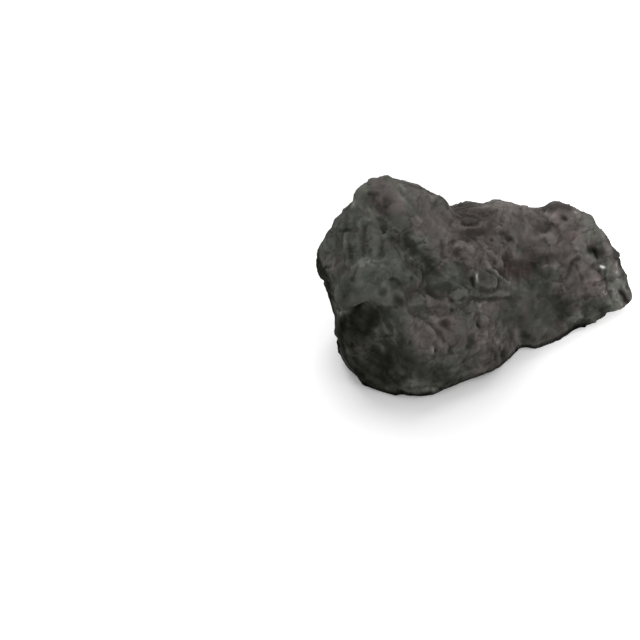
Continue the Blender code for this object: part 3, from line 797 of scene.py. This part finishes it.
def grainTree(material):
    tree = bpy.data.node_groups.new("rockGrain", "GeometryNodeTree")
    tree.interface.new_socket("Geometry", in_out="INPUT", socket_type="NodeSocketGeometry")
    for name in grain:
        tree.interface.new_socket(name, in_out="INPUT", socket_type="NodeSocketFloat")
    tree.interface.new_socket("Geometry", in_out="OUTPUT", socket_type="NodeSocketGeometry")
    start = put(tree, "NodeGroupInput").outputs
    place = put(tree, "GeometryNodeInputPosition").outputs[0]
    normal = put(tree, "GeometryNodeInputNormal").outputs[0]

    def texture(kind, size, inputs=None, **settings):
        scale = maths(tree, "DIVIDE", 1.0, start[size])
        return put(tree, kind, {"Vector": place, "Scale": scale, **(inputs or {})}, **settings)

    # swells: uneven, drawn-out lumps
    swell = texture("ShaderNodeTexNoise", "Swell Size", rock["swell"])
    lump = ramp(tree, swell.outputs[0], *rock["range"], -1, 1)
    height = maths(tree, "MULTIPLY", lump, start["Swell Height"])
    warped = vectorMaths(tree, "MULTIPLY_ADD", swell.outputs["Color"], (rock["warp"],) * 3, place)

    # rough and calm patches
    inputs = {"Vector": place, "Scale": 1 / rock["patchSize"], "Detail": rock["patchDetail"]}
    patch = put(tree, "ShaderNodeTexNoise", inputs).outputs[0]
    calm = put(tree, "GeometryNodeInputNamedAttribute", {"Name": "calm"}, data_type="FLOAT").outputs[0]
    rough = maths(tree, "MULTIPLY", ramp(tree, patch, *rock["patch"], 1),
                  ramp(tree, calm, 0, 1, 1, rock["leastInCalm"]))

    # chips and crumbs: every cell is a small plane, tilted its own way
    def chips(size, tilt):
        cell = texture("ShaderNodeTexVoronoi", size, {"Vector": warped}, feature="F1")
        offset = vectorMaths(tree, "SUBTRACT", warped, cell.outputs["Position"])
        lean = vectorMaths(tree, "SUBTRACT", cell.outputs["Color"], (0.5, 0.5, 0.5))
        return maths(tree, "MULTIPLY", vectorMaths(tree, "DOT_PRODUCT", offset, lean), start[tilt])

    fine = maths(tree, "ADD", chips("Chip Size", "Chip Tilt"), chips("Crumb Size", "Crumb Tilt"))
    grit = texture("ShaderNodeTexNoise", "Grit Size", rock["grit"])
    fine = maths(tree, "MULTIPLY_ADD", ramp(tree, grit.outputs[0], *rock["range"], -1, 1),
                 start["Grit Height"], fine)

    # beds: low steps one above the other
    along = vectorMaths(tree, "DOT_PRODUCT", warped, rock["bedding"])
    level = maths(tree, "FRACT", maths(tree, "DIVIDE", along, start["Bed Spacing"]))
    step = ramp(tree, level, 0.0, rock["bedRise"], -1, 1)
    fine = maths(tree, "MULTIPLY_ADD", step, start["Bed Height"], fine)

    # pits: round hollows in a few of the cells
    pit = texture("ShaderNodeTexVoronoi", "Pit Size", {"Randomness": rock["pitScatter"]}, feature="F1")
    lot = put(tree, "ShaderNodeSeparateXYZ", {0: pit.outputs["Color"]}).outputs[0]
    bowl = maths(tree, "MULTIPLY", ramp(tree, pit.outputs["Distance"], *rock["pitBowl"], 1, 0),
                 ramp(tree, lot, *rock["pitChance"]))
    fine = maths(tree, "MULTIPLY_ADD", maths(tree, "MULTIPLY", bowl, -1.0), start["Pit Depth"], fine)
    height = maths(tree, "MULTIPLY_ADD", fine, rough, height)

    up = put(tree, "ShaderNodeSeparateXYZ", {0: place}).outputs[2]
    height = maths(tree, "MULTIPLY", height, ramp(tree, up, *skin["rest"]))
    moved = put(tree, "ShaderNodeVectorMath", {0: normal, "Scale": height}, operation="SCALE").outputs[0]
    shaped = put(tree, "GeometryNodeSetPosition", {"Geometry": start["Geometry"], "Offset": moved}).outputs[0]

    # hollows and crests, fine and broad, kept for the finish
    for name, passes in rock["hollows"].items():
        here = put(tree, "GeometryNodeInputPosition").outputs[0]
        mean = put(tree, "GeometryNodeBlurAttribute", {"Value": here, "Iterations": passes},
                   data_type="FLOAT_VECTOR")
        offset = vectorMaths(tree, "SUBTRACT", socketOf(mean.outputs, "Value"), here)
        facing = put(tree, "GeometryNodeInputNormal").outputs[0]
        deep = maths(tree, "DIVIDE", vectorMaths(tree, "DOT_PRODUCT", offset, facing), mm)
        shaped = put(tree, "GeometryNodeStoreNamedAttribute",
                     {"Geometry": shaped, "Name": name, "Value": deep},
                     data_type="FLOAT", domain="POINT").outputs[0]

    whole = put(tree, "GeometryNodeRealizeInstances", {"Geometry": shaped}).outputs[0]
    dressed = put(tree, "GeometryNodeSetMaterial", {"Geometry": whole, "Material": material}).outputs[0]
    put(tree, "NodeGroupOutput", {"Geometry": dressed})
    return tree


def growGrain(piece, material):
    tree = grainTree(material)
    modifier = piece.modifiers.new("grain", "NODES")
    modifier.node_group = tree
    for item in tree.interface.items_tree:
        if item.in_out == "INPUT" and item.name in grain:
            modifier[item.identifier] = grain[item.name]
    bake(piece)


# finish

stoneFinish = {
    "brown": (0.0725, 0.0632, 0.06, 1),
    "green": (0.0542, 0.0567, 0.0484, 1),
    "red": (0.074, 0.0537, 0.0495, 1),
    "deep": (0.0525, 0.0562, 0.039, 1),     # what the green turns to where it is dark
    "pale": (0.8, 0.8, 0.77, 1),
    "redFrom": (1.1, 2.2),      # the warmth at which red begins and is full
    "deepFrom": (-0.2, -1.2, 0, 0.8),    # two tones, and how deep each is
    "deepHue": (0.5, -0.3),     # none at the first warmth, all at the second
    "paleFrom": (1.0, 2.2),
    "toneGain": 1.42,           # doublings of the colour for a tone of one
    "cloudDetail": 3.0,
    "cloudRoughness": 0.55,
    "cloudRange": (0.3, 0.7),   # what a cloud gives, nearly always
    "hueClouds": ((5 * mm, 0.6), (1.5 * mm, 0.35)),    # size, and swing of the warmth
    "specks": ((1.5 * mm, 0.12), (0.6 * mm, 0.13)),    # size, and swing of the tone
    "speckBend": 0.9,
    "mottle": (1.1 * mm, 0.08, 4.0),    # size, swing of the tone and detail
    "toneCloud": (3 * mm, 0.08),
    "broadShade": (-0.3, 0.3, 0.25, -0.3),    # crest and hollow in millimetres, and the tone of each: painted shade in the hollows, lighter on the crests
    "fineShade": (-0.06, 0.06, 0.08, -0.1),
    "calmMottle": 0.35,
    "calmGrit": 0.3,
    "gritSize": 0.4 * mm,
    "gritStrength": 0.18,
    "gritHeight": 0.12 * mm,
    "roughness": 0.9,
    "gloss": 0.03,
}


def mixColour(tree, factor, first, second):
    made = put(tree, "ShaderNodeMix", {"Factor": factor, "A": first, "B": second}, data_type="RGBA")
    return socketOf(made.outputs, "Result")


def stoneMaterial():
    material = bpy.data.materials.new("shungiteCrust")
    material.use_nodes = True
    tree = material.node_tree
    look = stoneFinish
    place = put(tree, "ShaderNodeTexCoord").outputs["Object"]

    def stored(name):
        return put(tree, "ShaderNodeAttribute", attribute_name=name).outputs["Fac"]

    def cloud(size, detail=look["cloudDetail"]):
        inputs = {"Vector": place, "Scale": 1 / size, "Detail": detail, "Roughness": look["cloudRoughness"]}
        return put(tree, "ShaderNodeTexNoise", inputs).outputs[0]

    def swing(size, reach, *detail):
        return ramp(tree, cloud(size, *detail), *look["cloudRange"], -reach, reach)

    hue = stored("warmth")
    for size, reach in look["hueClouds"]:
        hue = maths(tree, "MULTIPLY_ADD", swing(size, 1), reach, hue)
    colour = mixColour(tree, ramp(tree, hue, -1, 1), look["green"], look["brown"])
    colour = mixColour(tree, ramp(tree, hue, *look["redFrom"]), colour, look["red"])

    def specks(size, reach):
        waves = put(tree, "ShaderNodeTexNoise", {"Vector": place, "Scale": 1 / size}).outputs["Color"]
        bent = vectorMaths(tree, "MULTIPLY_ADD", waves, (look["speckBend"] * size,) * 3, place)
        cell = put(tree, "ShaderNodeTexVoronoi", {"Vector": bent, "Scale": 1 / size}, feature="F1")
        level = put(tree, "ShaderNodeSeparateXYZ", {0: cell.outputs["Color"]}).outputs[0]
        return maths(tree, "MULTIPLY", maths(tree, "SUBTRACT", level, 0.5), reach)

    calm = stored("calm")
    mottle = maths(tree, "ADD", *[specks(*each) for each in look["specks"]])
    mottle = maths(tree, "ADD", mottle, swing(*look["mottle"]))
    mottle = maths(tree, "MULTIPLY", mottle, ramp(tree, calm, 0, 1, 1, look["calmMottle"]))
    light = maths(tree, "ADD", stored("tone"), swing(*look["toneCloud"]))
    light = maths(tree, "ADD", light, mottle)
    # painted shade in the hollows, broad and fine, and lighter crests
    light = maths(tree, "ADD", light, ramp(tree, stored("broadHollow"), *look["broadShade"]))
    light = maths(tree, "ADD", light, ramp(tree, stored("fineHollow"), *look["fineShade"]))
    deep = maths(tree, "MULTIPLY", ramp(tree, light, *look["deepFrom"]), ramp(tree, hue, *look["deepHue"]))
    colour = mixColour(tree, deep, colour, look["deep"])
    gain = maths(tree, "POWER", 2.0, maths(tree, "MULTIPLY", light, look["toneGain"]))
    gains = put(tree, "ShaderNodeCombineXYZ", {0: gain, 1: gain, 2: gain}).outputs[0]
    colour = vectorMaths(tree, "MULTIPLY", colour, gains)
    colour = mixColour(tree, ramp(tree, light, *look["paleFrom"]), colour, look["pale"])

    grit = maths(tree, "MULTIPLY", cloud(look["gritSize"]), ramp(tree, calm, 0, 1, 1, look["calmGrit"]))
    inputs = {"Height": grit, "Strength": look["gritStrength"], "Distance": look["gritHeight"]}
    feed(tree, tree.nodes["Principled BSDF"], {
        "Base Color": colour,
        "Roughness": look["roughness"],
        "Specular IOR Level": look["gloss"],
        "Normal": put(tree, "ShaderNodeBump", inputs).outputs[0],
    })
    return material


# floor and light

studio = {
    "floorSize": 4.0,
    "floorColour": (0.78, 0.78, 0.78, 1),
    "floorRoughness": 0.9,
    "floorGloss": 0.1,
    "paintedGlow": (0, 34 * mm, 0.11, 0.7),    # painted light: the floor glows, more towards the right, to lift the stone's shadow there; two places along x, and its power there
    "skyPower": 0.85,
    "sunPower": 2.7,
    "sunSize": 46,            # degrees across, for a soft shadow
    "sunSide": (-0.16, 0.72, 0.66),
}


def addFloor():
    bpy.ops.mesh.primitive_plane_add(size=studio["floorSize"])
    floor = bpy.context.object
    floor.name = "floor"
    material = bpy.data.materials.new("paperFloor")
    material.use_nodes = True
    tree = material.node_tree
    place = put(tree, "ShaderNodeTexCoord").outputs["Object"]
    side = put(tree, "ShaderNodeSeparateXYZ", {0: place}).outputs[0]
    feed(tree, tree.nodes["Principled BSDF"], {
        "Base Color": studio["floorColour"],
        "Roughness": studio["floorRoughness"],
        "Specular IOR Level": studio["floorGloss"],
        # the floor's glow is painted light, no lamp
        "Emission Color": ramp(tree, side, *studio["paintedGlow"]),
        "Emission Strength": 1.0,
    })
    floor.data.materials.append(material)


def addLight():
    world = bpy.data.worlds.new("studio")
    scene.world = world
    world.use_nodes = True
    sky = {"Color": (1, 1, 1, 1), "Strength": studio["skyPower"]}
    feed(world.node_tree, world.node_tree.nodes["Background"], sky)
    data = bpy.data.lights.new("sun", "SUN")
    data.energy = studio["sunPower"]
    data.angle = math.radians(studio["sunSize"])
    sun = bpy.data.objects.new("sun", data)
    scene.collection.objects.link(sun)
    sun.rotation_mode = "QUATERNION"
    sun.rotation_quaternion = (-Vector(studio["sunSide"])).to_track_quat("-Z", "Y")


scene.view_settings.view_transform = "Standard"
addCamera()
addFloor()
addLight()
print("view, floor and light are set")

material = stoneMaterial()
stone = denseSkin()
print("skin:", len(stone.data.polygons), "faces")
sculpt(stone)
print(len(marks), "marks and", len(tones), "tones made")
growGrain(stone, material)
for face in stone.data.polygons:
    face.use_smooth = True
places = ofPoints(stone.data, "co")
places[:, 2] = np.maximum(places[:, 2], 0)
setCoordinates(stone.data, places)
print("grain grown")
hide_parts("shungite_stone")
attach(stone, "root")

stone.data.calc_loop_triangles()
print("triangles", len(stone.data.loop_triangles))
